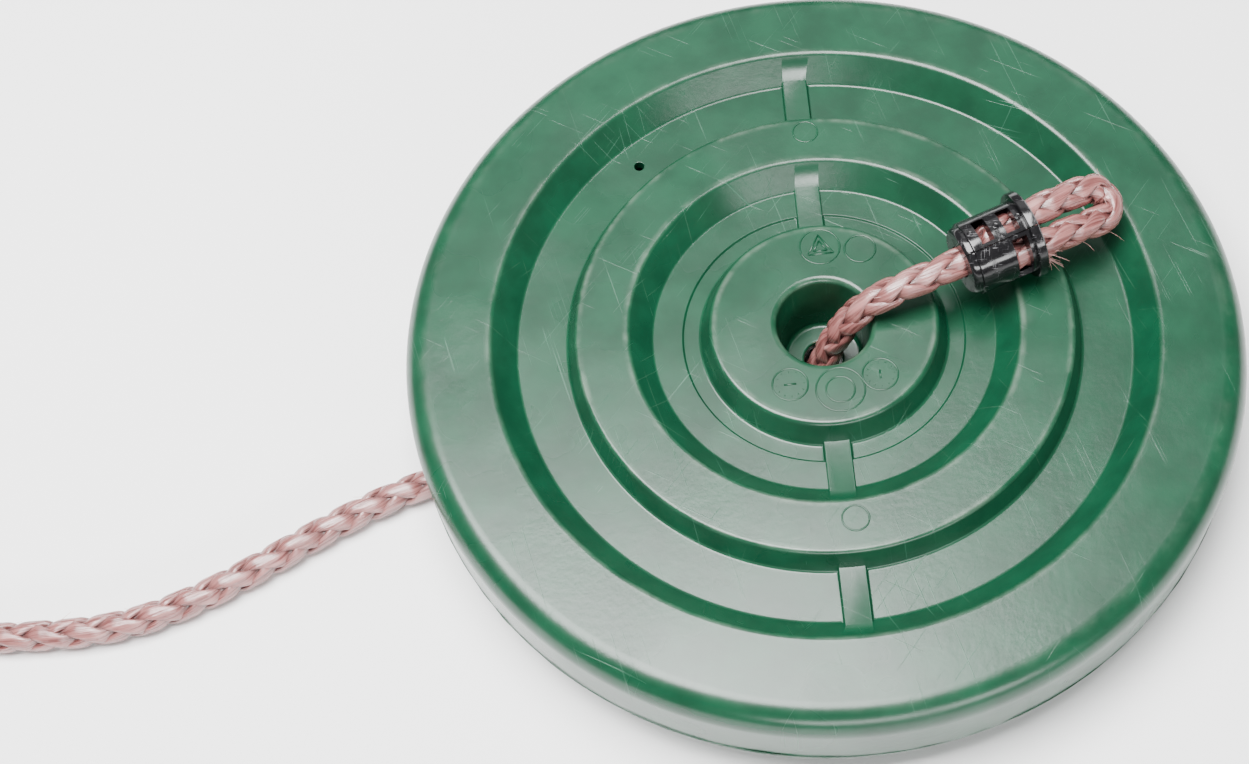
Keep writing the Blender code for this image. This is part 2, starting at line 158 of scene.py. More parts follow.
TAIL_START = 4.0 * MM

# Coil: the rope enters at -90 degrees and turns clockwise.  Each change gives the turn at which it
# starts and ends, and the radius and height that the rope then has.
COIL_TURNS = 3.25
COIL_START = (57.2 * MM, 6.8 * MM)
COIL_CHANGES = [
    (0.85, 1.00, 46.8 * MM, 6.8 * MM),
    (1.65, 1.82, 46.8 * MM, 17.0 * MM),
    (2.45, 2.62, 57.2 * MM, 17.0 * MM),
]
COIL_POINTS_PER_TURN = 24

# Plaited rope: four strands turn right and four turn left.  Right-turning strands lie on top on two
# opposite sides of the rope, and left-turning ones on the two sides between.
PLAIT_LENGTH = 50.0 * MM      # along the rope, for one whole turn of a strand
STRAND_MIDDLE = 2.6 * MM      # mean distance of a strand from the middle of the rope
STRAND_SWING = 0.95 * MM      # how far it rises over and sinks under the others
STRAND_HALF_THICKNESS = 1.6 * MM
STRAND_HALF_WIDTH = 2.95 * MM
STRAND_SIDES = 16
FIBRE_SLOPE = 0.5             # a strand's fibres turn against it, so they run along the rope
# Side of the rope that shows right-turning strands, by distance along it: (distance, degrees)
FACE_TURNS = [(0.0, 0.0), (0.18, 0.0), (0.33, 90.0), (0.49, 50.0), (0.60, 45.0)]

STRAY_RADIUS = 0.11 * MM
FRAYED_ENDS = 34              # hairs where the cut end meets the clamp
SINGLE_HAIRS = 46             # hairs anywhere along the rope that the camera can see
ROPE_SEEN_FROM = -320.0 * MM  # the camera sees the rope at larger X than this

# ---------------------------------------------------------------- colours, camera and lights

GREEN_DARK = (0.0020, 0.034, 0.0150, 1.0)
GREEN_LIGHT = (0.0035, 0.050, 0.0225, 1.0)
SCUFF_GREEN = (0.12, 0.30, 0.20, 1.0)
WORN_GREEN = (0.30, 0.38, 0.30, 1.0)
GREEN_ROUGHNESS = 0.23
RAMP_REACH = 0.15             # radius at which the ramp of worn edges ends
# Radius, half width and strength of the paler edges of the seat's raised rings
EDGE_WEAR = [
    (16.5 * MM, 1.2 * MM, 0.35),
    (36.6 * MM, 1.2 * MM, 0.45),
    (66.0 * MM, 1.4 * MM, 0.45),
    (81.8 * MM, 1.4 * MM, 0.45),
    (111.5 * MM, 1.4 * MM, 0.3),
    (133.0 * MM, 3.0 * MM, 0.12),
]

ROSE_DARK = (0.115, 0.034, 0.032, 1.0)
ROSE_LIGHT = (0.34, 0.140, 0.130, 1.0)
ROSE_PALE = (0.70, 0.43, 0.40, 1.0)
# Painted shade: the dark rose put into the plait's crevices and onto strands that pass under others
ROSE_PAINTED_SHADE = (0.035, 0.008, 0.008, 1.0)
ROPE_ROUGHNESS = 0.20

CAMERA_PLACE = (-23.11 * MM, -303.39 * MM, 579.72 * MM)
CAMERA_DOWN = 62.078          # degrees below the horizon
CAMERA_ROLL = -7.976
LENS = 53.53
SHIFT_X = -0.1085
WORLD_STRENGTH = 0.20
# Name, place, what it points at, size and radiance
LIGHTS = [
    ("overhead", (-0.265, 0.06, 1.20), (-0.265, 0.06, 0.0), (0.98, 0.72), 30.0),
    ("low_front", (0.30, -1.50, 0.66), (0.0, 0.0, 0.03), (1.50, 0.28), 17.0),
    ("far_fill", (0.3, 1.9, 1.7), (0.0, 0.0, 0.0), (2.4, 1.2), 1.2),
]


# ---------------------------------------------------------------- mesh helpers

def mesh_object(name, points, faces, material=None, smooth=True):
    mesh = bpy.data.meshes.new(name)
    mesh.from_pydata([tuple(point) for point in points], [], faces)
    mesh.validate()
    obj = bpy.data.objects.new(name, mesh)
    bpy.context.collection.objects.link(obj)
    if material:
        mesh.materials.append(material)
    mesh.polygons.foreach_set("use_smooth", [smooth] * len(mesh.polygons))
    return obj


def rounded_outline(corners, step):
    """Round the corners (r, z, radius) of a closed outline, with arcs in steps of so many degrees."""
    outline = []
    count = len(corners)
    for index, (x, z, radius) in enumerate(corners):
        here = Vector((x, z))
        before = Vector(corners[index - 1][:2])
        after = Vector(corners[(index + 1) % count][:2])
        to_before = (before - here).normalized()
        to_after = (after - here).normalized()
        opening = to_before.angle(to_after)
        if radius == 0.0 or opening > radians(178.0):
            outline.append(here)
            continue
        cut = radius / tan(opening / 2.0)
        bisector = (to_before + to_after).normalized()
        centre = here + bisector * (radius / sin(opening / 2.0))
        first = here + to_before * cut - centre
        last = here + to_after * cut - centre
        turn = atan2(first.x * last.y - first.y * last.x, first.dot(last))
        pieces = max(1, ceil(abs(degrees(turn)) / step))
        for piece in range(pieces + 1):
            angle = turn * piece / pieces
            outline.append(centre + Vector((
                first.x * cos(angle) - first.y * sin(angle),
                first.x * sin(angle) + first.y * cos(angle),
            )))
    return outline


def anticlockwise(outline):
    double_area = 0.0
    for (r1, z1), (r2, z2) in zip(outline, outline[1:] + outline[:1]):
        double_area += r1 * z2 - r2 * z1
    return outline if double_area > 0.0 else outline[::-1]


def turned(name, outline, segments, material=None):
    """Turn a closed outline of (radius, height) once round the Z axis."""
    outline = anticlockwise(outline)
    points = []
    for segment in range(segments):
        angle = 2.0 * pi * segment / segments
        points += [(r * cos(angle), r * sin(angle), z) for r, z in outline]
    count = len(outline)
    faces = []
    for segment in range(segments):
        here = segment * count
        there = (segment + 1) % segments * count
        for index in range(count):
            following = (index + 1) % count
            faces.append((here + index, there + index, there + following, here + following))
    return mesh_object(name, points, faces, material)


def prism(name, section, start, end, material=None):
    """Extrude a section of (y, z) points, given anticlockwise, along X."""
    count = len(section)
    points = [(start, y, z) for y, z in section] + [(end, y, z) for y, z in section]
    faces = [tuple(range(count - 1, -1, -1)), tuple(range(count, 2 * count))]
    for index in range(count):
        following = (index + 1) % count
        faces.append((index, following, count + following, count + index))
    return mesh_object(name, points, faces, material)


def box(name, low, high, material=None):
    section = [(low[1], low[2]), (high[1], low[2]), (high[1], high[2]), (low[1], high[2])]
    return prism(name, section, low[0], high[0], material)


def boolean(obj, cutter, operation):
    """Cut the cutter away from the object or join it to the object, and remove the cutter."""
    modifier = obj.modifiers.new(cutter.name, "BOOLEAN")
    modifier.operation = operation
    modifier.solver = "EXACT"
    modifier.object = cutter
    apply_modifiers(obj)
    bpy.data.objects.remove(cutter, do_unlink=True)


def apply_modifiers(obj):
    bpy.context.view_layer.update()
    graph = bpy.context.evaluated_depsgraph_get()
    mesh = bpy.data.meshes.new_from_object(obj.evaluated_get(graph))
    obj.modifiers.clear()
    obj.data = mesh


def bevel_edges(obj, width, sharpest):
    """Round the edges that turn by more than so many degrees."""
    bevel = obj.modifiers.new("bevel", "BEVEL")
    bevel.width = width
    bevel.segments = 2
    bevel.limit_method = "ANGLE"
    bevel.angle_limit = radians(sharpest)


def weight_normals(obj):
    weighted = obj.modifiers.new("weighted_normals", "WEIGHTED_NORMAL")
    weighted.keep_sharp = True


def join_meshes(name, objects, material):
    """One object from several, in the first one's frame."""
    points, faces = [], []
    for obj in objects:
        start = len(points)
        points += [vertex.co.copy() for vertex in obj.data.vertices]
        faces += [tuple(start + index for index in polygon.vertices) for polygon in obj.data.polygons]
        bpy.data.objects.remove(obj, do_unlink=True)
    return mesh_object(name, points, faces, material)


def smooth_route(points, spacing):
    """Points at about the given spacing on a Catmull-Rom curve through the route's points."""
    route = [Vector(point) for point in points]
    ends = [route[0] * 2.0 - route[1]] + route + [route[-1] * 2.0 - route[-2]]
    curve = []
    for index in range(1, len(ends) - 2):
        p0, p1, p2, p3 = ends[index - 1:index + 3]
        pieces = max(1, round((p2 - p1).length / spacing))
        for piece in range(pieces):
            t = piece / pieces
            curve.append(0.5 * (
                2.0 * p1 + (p2 - p0) * t
                + (2.0 * p0 - 5.0 * p1 + 4.0 * p2 - p3) * t * t
                + (3.0 * p1 - p0 - 3.0 * p2 + p3) * t * t * t
            ))
    curve.append(route[-1])
    return curve


def distances(points):
    """Distance along the points at each of them."""
    along = [0.0]
    for before, after in zip(points, points[1:]):
        along.append(along[-1] + (after - before).length)
    return along


def transported_frames(points):
    """(tangent, normal, binormal) at each point, carried along without twist."""
    tangents = []
    for index in range(len(points)):
        before = points[max(0, index - 1)]
        after = points[min(len(points) - 1, index + 1)]
        tangents.append((after - before).normalized())
    normal = tangents[0].orthogonal().normalized()
    frames = []
    for index, tangent in enumerate(tangents):
        if index:
            normal = tangents[index - 1].rotation_difference(tangent) @ normal
        normal = (normal - tangent * normal.dot(tangent)).normalized()
        frames.append((tangent, normal, tangent.cross(normal)))
    return frames


def tube(name, points, radius, sides, material=None, closed=False, taper=None):
    """A round tube along the points.  A closed tube lies in one plane across the Z axis."""
    vertices, faces = [], []
    frames = transported_frames(points)
    if closed:
        count = len(points)
        frames = []
        for index in range(count):
            tangent = (points[(index + 1) % count] - points[index - 1]).normalized()
            frames.append((tangent, Vector((0.0, 0.0, 1.0)), tangent.cross(Vector((0.0, 0.0, 1.0)))))
    for index, (point, (_, normal, binormal)) in enumerate(zip(points, frames)):
        here = radius * (taper[index] if taper else 1.0)
        for side in range(sides):
            angle = 2.0 * pi * side / sides
            vertices.append(point + normal * here * cos(angle) + binormal * here * sin(angle))
    rows = len(points)
    for row in range(rows if closed else rows - 1):
        here = row * sides
        there = (row + 1) % rows * sides
        for side in range(sides):
            following = (side + 1) % sides
            faces.append((here + side, here + following, there + following, there + side))
    if not closed:
        faces.append(tuple(range(sides - 1, -1, -1)))
        faces.append(tuple(range((rows - 1) * sides, rows * sides)))
    return mesh_object(name, vertices, faces, material)


# ---------------------------------------------------------------- node helpers

def new_material(name):
    material = bpy.data.materials.new(name)
    material.use_nodes = True
    return material, material.node_tree, material.node_tree.nodes["Principled BSDF"]


def node(tree, kind, inputs=None, **settings):
    """A new node with its settings, and its inputs set to values or linked to sockets."""
    new = tree.nodes.new(kind)
    for name, value in settings.items():
        setattr(new, name, value)
    for key, value in (inputs or {}).items():
        if isinstance(value, bpy.types.NodeSocket):
            tree.links.new(value, new.inputs[key])
        else:
            new.inputs[key].default_value = value
    return new


def math(tree, operation, a, b=0.0):
    return node(tree, "ShaderNodeMath", {0: a, 1: b}, operation=operation).outputs[0]


def noise(tree, vector, scale, detail=3.0, roughness=0.5, distortion=0.0):
    inputs = {"Vector": vector, "Scale": scale, "Detail": detail, "Roughness": roughness,
              "Distortion": distortion}
    return node(tree, "ShaderNodeTexNoise", inputs).outputs["Fac"]


def spread(tree, value, low, high, to_low=0.0, to_high=1.0):
    """Map a value between two limits to two others, smoothly and clamped."""
    inputs = {"Value": value, "From Min": low, "From Max": high, "To Min": to_low, "To Max": to_high}
    return node(tree, "ShaderNodeMapRange", inputs, interpolation_type="SMOOTHSTEP").outputs[0]


def mix_colour(tree, factor, a, b):
    return node(tree, "ShaderNodeMix", {0: factor, 6: a, 7: b}, data_type="RGBA").outputs[2]


def mapped(tree, vector, rotation=(0.0, 0.0, 0.0), scale=(1.0, 1.0, 1.0)):
    inputs = {"Vector": vector, "Rotation": rotation, "Scale": scale}
    return node(tree, "ShaderNodeMapping", inputs).outputs[0]


def total(tree, *terms):
    result = terms[0]
    for term in terms[1:]:
        result = math(tree, "ADD", result, term)
    return result


def scratches(tree, vector, angle, width, length, share):
    """Thin straight lines in one direction in the XY plane, 1 on a line and 0 off it."""
    turned_round = mapped(tree, vector, rotation=(0.0, 0.0, radians(angle)))
    stretched = mapped(tree, turned_round, scale=(1.0 / length, 1.0 / width, 20.0))
    lines = noise(tree, stretched, 1.0, detail=1.0, roughness=0.4)
    return spread(tree, lines, 0.86 - share, 0.90 - share)


def connect(tree, shader, colour, rough, height):
    """Give the shader its colour, roughness and bump.  The height is in millimetres."""
    bump = node(tree, "ShaderNodeBump", {"Height": height, "Distance": MM, "Strength": 1.0})
    tree.links.new(colour, shader.inputs["Base Color"])
    tree.links.new(rough, shader.inputs["Roughness"])
    tree.links.new(bump.outputs[0], shader.inputs["Normal"])


# ---------------------------------------------------------------- materials

def raised_edges(tree, radius):
    """How worn the seat is at a distance from its middle: a peak at each ring's edge, else 0."""
    edge_ramp = node(tree, "ShaderNodeValToRGB", {"Fac": math(tree, "DIVIDE", radius, RAMP_REACH)})
    ramp = edge_ramp.color_ramp
    ramp.elements[0].position = 0.0
    ramp.elements[0].color = (0.0, 0.0, 0.0, 1.0)
    ramp.elements[1].position = 1.0
    ramp.elements[1].color = (0.0, 0.0, 0.0, 1.0)
    for edge, width, amount in EDGE_WEAR:
        for offset, value in ((-width, 0.0), (0.0, amount), (width, 0.0)):
            element = ramp.elements.new((edge + offset) / RAMP_REACH)
            element.color = (value, value, value, 1.0)
    return edge_ramp.outputs[0]


def green_plastic():
    """Moulded polyethylene: satin, with orange peel, scuffs and paler edges."""
    material, tree, shader = new_material("green_polyethylene_detail")
    place = node(tree, "ShaderNodeTexCoord").outputs["Object"]
    parts = node(tree, "ShaderNodeSeparateXYZ", {0: place}).outputs
    radius = math(tree, "SQRT", math(tree, "ADD", math(tree, "MULTIPLY", parts[0], parts[0]),
                                     math(tree, "MULTIPLY", parts[1], parts[1])))

    broad = noise(tree, place, 26.0, detail=2.0)
    patches = spread(tree, noise(tree, place, 17.0, detail=3.0, roughness=0.6), 0.42, 0.66)
    peel = noise(tree, place, 420.0, detail=2.0, roughness=0.55)
    grain = noise(tree, place, 1500.0, detail=2.0, roughness=0.6)
    scuffs = total(
        tree,
        scratches(tree, place, 34.0, 0.55 * MM, 40.0 * MM, 0.14),
        scratches(tree, place, -48.0, 0.45 * MM, 30.0 * MM, 0.15),
        scratches(tree, place, 78.0, 0.60 * MM, 55.0 * MM, 0.16),
    )
    scuffed = spread(tree, noise(tree, place, 30.0, detail=3.0, roughness=0.6), 0.46, 0.62)
    scuffs = math(tree, "MULTIPLY", scuffs, scuffed)

    high = spread(tree, parts[2], 34.0 * MM, 37.0 * MM)
    worn = math(tree, "MULTIPLY", math(tree, "MULTIPLY", raised_edges(tree, radius), high),
                spread(tree, noise(tree, place, 90.0, detail=4.0, roughness=0.65), 0.35, 0.75))

    tone = spread(tree, noise(tree, place, 60.0, detail=4.0, roughness=0.6), 0.3, 0.7)
    colour = mix_colour(tree, tone, GREEN_DARK, GREEN_LIGHT)
    colour = mix_colour(tree, math(tree, "MULTIPLY", scuffs, 0.14), colour, SCUFF_GREEN)
    colour = mix_colour(tree, math(tree, "MULTIPLY", worn, 0.5), colour, WORN_GREEN)

    rough = total(
        tree,
        math(tree, "MULTIPLY", broad, 0.08),
        math(tree, "MULTIPLY", patches, 0.05),
        math(tree, "MULTIPLY", scuffs, 0.08),
        GREEN_ROUGHNESS,
    )

    height = total(
        tree,
        math(tree, "MULTIPLY", broad, 0.16),
        math(tree, "MULTIPLY", math(tree, "MULTIPLY", peel, patches), 0.045),
        math(tree, "MULTIPLY", peel, 0.014),
        math(tree, "MULTIPLY", grain, 0.006),
        math(tree, "MULTIPLY", scuffs, 0.03),
    )
    connect(tree, shader, colour, rough, height)
    return material


def rope_fibres():
    """Shiny plaited multifilament.  The map U runs round a strand and V along it, both in metres."""
    material, tree, shader = new_material("rose_rope_detail")
    place = node(tree, "ShaderNodeUVMap", uv_map="strand").outputs[0]
    # Painted shade stored on the rope's points: 1 in the crevices and under crossing strands, 0 on top
    painted_shade = node(tree, "ShaderNodeAttribute", attribute_name="painted_crevice_shade").outputs["Fac"]
    fibre = noise(tree, mapped(tree, place, scale=(5200.0, 110.0, 1.0)), 1.0, detail=2.0)
    yarn = noise(tree, mapped(tree, place, scale=(1100.0, 45.0, 1.0)), 1.0, detail=2.0)
    cloudy = noise(tree, mapped(tree, place, scale=(260.0, 60.0, 1.0)), 1.0, detail=2.0)

    shade = spread(tree, total(tree, math(tree, "MULTIPLY", fibre, 0.5),
                               math(tree, "MULTIPLY", yarn, 0.5)), 0.36, 0.64)
    colour = mix_colour(tree, shade, ROSE_DARK, ROSE_LIGHT)
    colour = mix_colour(tree, math(tree, "MULTIPLY", spread(tree, cloudy, 0.55, 0.8), 0.35),
                        colour, ROSE_PALE)
    # Painted shade: mix the dark rose into the crevices and onto the strands that pass under others
    colour = mix_colour(tree, math(tree, "MULTIPLY", painted_shade, 0.9), colour, ROSE_PAINTED_SHADE)
    rough = total(tree, math(tree, "MULTIPLY", yarn, 0.16), ROPE_ROUGHNESS)
    height = total(tree, math(tree, "MULTIPLY", fibre, 0.08), math(tree, "MULTIPLY", yarn, 0.34))
    connect(tree, shader, colour, rough, height)
    shader.inputs["Specular IOR Level"].default_value = 1.0
    return material


def black_plastic(name, roughness, scuffing):
    """Glossy moulded black plastic with handling marks."""
    material, tree, shader = new_material(name)
    place = node(tree, "ShaderNodeTexCoord").outputs["Object"]
    cloudy = noise(tree, place, 260.0, detail=4.0, roughness=0.6)
    grain = noise(tree, place, 2600.0, detail=2.0)
    waves = noise(tree, place, 150.0, detail=2.0)
    marks = total(
        tree,
        scratches(tree, place, 20.0, 0.22 * MM, 6.0 * MM, 0.20),
        scratches(tree, place, -65.0, 0.18 * MM, 5.0 * MM, 0.20),
    )
    marks = math(tree, "MULTIPLY", marks, spread(tree, cloudy, 0.45, 0.65))
    colour = mix_colour(tree, cloudy, (0.003, 0.003, 0.0035, 1.0), (0.009, 0.0085, 0.0095, 1.0))
    colour = mix_colour(tree, math(tree, "MULTIPLY", marks, scuffing), colour,
                        (0.30, 0.29, 0.31, 1.0))
    rough = total(tree, math(tree, "MULTIPLY", spread(tree, cloudy, 0.35, 0.75), 0.10),
                  math(tree, "MULTIPLY", marks, 0.2), roughness)
    height = total(tree, math(tree, "MULTIPLY", waves, 0.16), math(tree, "MULTIPLY", grain, 0.004),
                   math(tree, "MULTIPLY", marks, 0.02))
    connect(tree, shader, colour, rough, height)
    return material


def zinc_steel():
    """Zinc-plated wire: soft metallic with faint drawing lines and cloudy spots."""
    material, tree, shader = new_material("zinc_plated_steel_detail")
    place = node(tree, "ShaderNodeTexCoord").outputs["Object"]
    cloudy = noise(tree, place, 180.0, detail=4.0, roughness=0.6)
    fine = noise(tree, place, 1400.0, detail=3.0, roughness=0.6)
    colour = mix_colour(tree, spread(tree, cloudy, 0.35, 0.7), (0.46, 0.47, 0.49, 1.0),
                        (0.66, 0.66, 0.65, 1.0))
    rough = total(tree, math(tree, "MULTIPLY", cloudy, 0.22), math(tree, "MULTIPLY", fine, 0.10),
                  0.18)
    height = total(tree, math(tree, "MULTIPLY", cloudy, 0.05), math(tree, "MULTIPLY", fine, 0.008))
    connect(tree, shader, colour, rough, height)
    shader.inputs["Metallic"].default_value = 1.0
    return material


def floor_paint():
    material, tree, shader = new_material("floor_white")
    place = node(tree, "ShaderNodeTexCoord").outputs["Object"]
    tone = noise(tree, place, 3.0, detail=2.0)
    colour = mix_colour(tree, tone, (0.88, 0.88, 0.88, 1.0), (0.91, 0.91, 0.91, 1.0))
    tree.links.new(colour, shader.inputs["Base Color"])
    shader.inputs["Roughness"].default_value = 0.9
    shader.inputs["Specular IOR Level"].default_value = 0.2
    return material


# ---------------------------------------------------------------- seat

def seat_outline():
    """Corners (radius, height, rounding) of the seat's outside, from the rope hole round its section."""
    return [
        (HOLE_RADIUS, COUNTERBORE_FLOOR, 0.8 * MM),
        (13.2 * MM, COUNTERBORE_FLOOR, 1.5 * MM),
        (16.0 * MM, RING_TOP, 2.2 * MM),
        (38.0 * MM, RING_TOP, 1.8 * MM),
        (41.5 * MM, INNER_FLOOR, 1.2 * MM),
        (47.0 * MM, INNER_FLOOR, 0.2 * MM),
        (47.6 * MM, INNER_FLOOR + 0.6 * MM, 0.3 * MM),
        (57.6 * MM, INNER_FLOOR + 0.6 * MM, 1.2 * MM),
        (65.0 * MM, RING_TOP, 2.0 * MM),
        (82.8 * MM, RING_TOP, 1.6 * MM),
        (86.0 * MM, OUTER_FLOOR, 1.2 * MM),
        (103.0 * MM, OUTER_FLOOR, 1.5 * MM),
        (110.8 * MM, SEAT_HEIGHT, 2.5 * MM),
        (SEAT_RADIUS, SEAT_HEIGHT, 9.0 * MM),
        (SEAT_RADIUS, 0.0, 12.0 * MM),
        (118.0 * MM, 0.0, 6.0 * MM),
        (62.0 * MM, DISH_DEPTH, 20.0 * MM),
        (HOLE_RADIUS, DISH_DEPTH, 5.0 * MM),
    ]


def cavity_outline():
    """The hollow inside the seat, one wall's thickness within its outside."""
    wall = SEAT_WALL
    floor = DISH_DEPTH + wall
    corners = [
        (17.2 * MM, floor, 1.5 * MM),
        (19.6 * MM, RING_TOP - wall, 1.5 * MM),
        (35.6 * MM, RING_TOP - wall, 1.5 * MM),
        (38.8 * MM, INNER_FLOOR - wall, 0.0),
        (60.0 * MM, INNER_FLOOR - wall, 0.0),
        (67.0 * MM, RING_TOP - wall, 1.5 * MM),
        (80.6 * MM, RING_TOP - wall, 1.5 * MM),
        (83.8 * MM, OUTER_FLOOR - wall, 0.0),
        (105.3 * MM, OUTER_FLOOR - wall, 0.0),
        (112.6 * MM, SEAT_HEIGHT - wall, 1.5 * MM),
        (SEAT_RADIUS - wall, SEAT_HEIGHT - wall, 5.5 * MM),
        (SEAT_RADIUS - wall, wall, 8.5 * MM),
        (118.0 * MM, wall, 0.0),
        (62.0 * MM, floor, 0.0),
    ]
    return rounded_outline(corners, 45.0)


def seat_matrix():
    """The place of the seat: tilted about Y, so that its left rim clears the rope."""
    outline = rounded_outline(seat_outline(), 30.0)
    tilt = asin(UNDER_RIM / (2.0 * RIM_CONTACT_RADIUS))
    right = max(r * cos(tilt) + z * sin(tilt) for r, z in outline)
    left = min(-r * cos(tilt) + z * sin(tilt) for r, z in outline)
    lowest = min(-r * sin(tilt) + z * cos(tilt) for r, z in outline)
    place = Matrix.Translation((-(left + right) / 2.0, 0.0, -lowest))
    return place @ Matrix.Rotation(tilt, 4, "Y")


def groove_rib(start, end, floor, angle):
    """A low rib with rounded upper edges and a flared foot, which runs into both walls."""
    half = BAR_WIDTH / 2.0
    side = [
        (half + 0.55 * MM, floor - 0.6 * MM),
        (half + 0.55 * MM, floor + 0.02 * MM),
        (half + 0.25 * MM, floor + 0.10 * MM),
        (half + 0.08 * MM, floor + 0.30 * MM),
        (half, floor + 0.60 * MM),
        (half - 0.10 * MM, floor + BAR_HEIGHT - 0.35 * MM),
        (half - 0.22 * MM, floor + BAR_HEIGHT - 0.12 * MM),
        (half - 0.50 * MM, floor + BAR_HEIGHT),
    ]
    section = side + [(-y, z) for y, z in reversed(side)]
    rib = prism("rib", section, start, end)
    rib.rotation_euler.z = radians(angle)
    return rib


def make_seat(material):
    """The hollow shell: the turned outside with its ribs, less the cavity and the vent hole."""
    seat = turned("seat_shell", rounded_outline(seat_outline(), 11.0), 288, material)
    for angle in (BAR_ANGLE, BAR_ANGLE + 180.0):
        boolean(seat, groove_rib(39.5 * MM, 60.0 * MM, INNER_FLOOR, angle), "UNION")
        boolean(seat, groove_rib(84.0 * MM, 105.5 * MM, OUTER_FLOOR, angle), "UNION")
    boolean(seat, turned("cavity", cavity_outline(), 96), "DIFFERENCE")
    distance, angle = VENT_PLACE
    low = OUTER_FLOOR - 2.0 * SEAT_WALL
    top = OUTER_FLOOR
    flared = VENT_RADIUS + 0.3 * MM
    section = [(0.0, low), (VENT_RADIUS, low), (VENT_RADIUS, top - 0.3 * MM),
               (flared, top + 0.05 * MM), (flared, SEAT_HEIGHT), (0.0, SEAT_HEIGHT)]
    vent = turned("vent", [Vector(corner) for corner in section], 32)
    vent.location = (distance * cos(radians(angle)), distance * sin(radians(angle)), 0.0)
    boolean(seat, vent, "DIFFERENCE")
    seat.data.polygons.foreach_set("use_smooth", [True] * len(seat.data.polygons))
    seat.data.set_sharp_from_angle(angle=radians(50.0))
    weight_normals(seat)
    seat.matrix_world = seat_matrix()
    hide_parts("seat_disc")
    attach(seat, "seat")


def ring_points(centre, radius, count, height):
    return [Vector((centre[0] + radius * cos(2.0 * pi * step / count),
                    centre[1] + radius * sin(2.0 * pi * step / count), height))
            for step in range(count)]


def polar(radius, angle):
    return radius * cos(radians(angle)), radius * sin(radians(angle))


def make_moulded_marks(material):
    """Generic marks on the hub and ejector rings, as raised lines sunk half way into the face."""
    level = RING_TOP - 0.06 * MM
    tubes = []
    for radius, angle, diameter in MARK_CIRCLES:
        points = ring_points(polar(radius, angle), diameter / 2.0, 64, level)
        tubes.append(tube("mark", points, MARK_LINE, 8, closed=True))

    def stroke(start, end, width=MARK_LINE):
        points = [Vector((*start, level)), Vector((*end, level))]
        tubes.append(tube("mark", points, width, 8))

    def triangle(x, y, reach):
        corners = []
        for corner in range(3):
            angle = radians(90.0 + 120.0 * corner)
            corners.append((x + reach * cos(angle), y + reach * sin(angle)))
        for first, second in zip(corners, corners[1:] + corners[:1]):
            stroke(first, second)

    def ticks(x, y, inner, outer):
        for step in range(12):
            angle = 2.0 * pi * step / 12.0
            stroke((x + inner * cos(angle), y + inner * sin(angle)),
                   (x + outer * cos(angle), y + outer * sin(angle)), 0.18 * MM)

    x, y = polar(29.3 * MM, 85.0)
    triangle(x, y - 0.4 * MM, 5.0 * MM)
    triangle(x, y - 0.4 * MM, 2.7 * MM)
    x, y = polar(26.1 * MM, -123.0)
    stroke((x - 2.0 * MM, y), (x + 2.0 * MM, y))
    ticks(x, y, 4.3 * MM, 4.9 * MM)
    x, y = polar(26.9 * MM, -55.0)
    stroke((x, y - 1.6 * MM), (x, y + 1.6 * MM), 0.34 * MM)
    ticks(x, y, 4.2 * MM, 4.8 * MM)

    marks = join_meshes("seat_moulded_marks", tubes, material)
    marks.matrix_world = seat_matrix()
    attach(marks, "seat")


def make_parting_flash(material):
    """The thin, uneven flash left on the outer wall where the mould's halves met."""
    draw = random.Random(11)
    count = 720
    wander = [0.0] * count
    for wave in range(1, 90):
        size = 0.11 * MM / (1.0 + 0.05 * wave)
        phase = draw.uniform(0.0, 2.0 * pi)
        for step in range(count):
            wander[step] += size * cos(2.0 * pi * wave * step / count + phase)
    points = []
    for step in range(count):
        angle = 2.0 * pi * step / count
        reach = SEAT_RADIUS - 0.05 * MM + 0.35 * wander[step]
        points.append(Vector((reach * cos(angle), reach * sin(angle), 12.2 * MM + 0.4 * wander[step])))
    flash = tube("seat_parting_flash", points, 0.3 * MM, 6, material, closed=True)
    flash.matrix_world = seat_matrix()
    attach(flash, "seat")


# ---------------------------------------------------------------- clamps

def clamp_matrix(place, heading, pitch, roll):
    return (
        Matrix.Translation(place)
        @ Matrix.Rotation(radians(heading), 4, "Z")
        @ Matrix.Rotation(-radians(pitch), 4, "Y")
        @ Matrix.Rotation(radians(roll), 4, "X")
    )


STOP_CLAMP_MATRIX = clamp_matrix((59.6 * MM, 12.3 * MM, 55.1 * MM), 16.5, 2.0, 22.8)
EYE_CLAMP_MATRIX = clamp_matrix(
    (COIL_CENTRE[0] - COIL_RADIUS - ROPE_RADIUS - ROPE_GAP, 80.0 * MM, 15.7 * MM), 90.0, 0.0, -90.0)


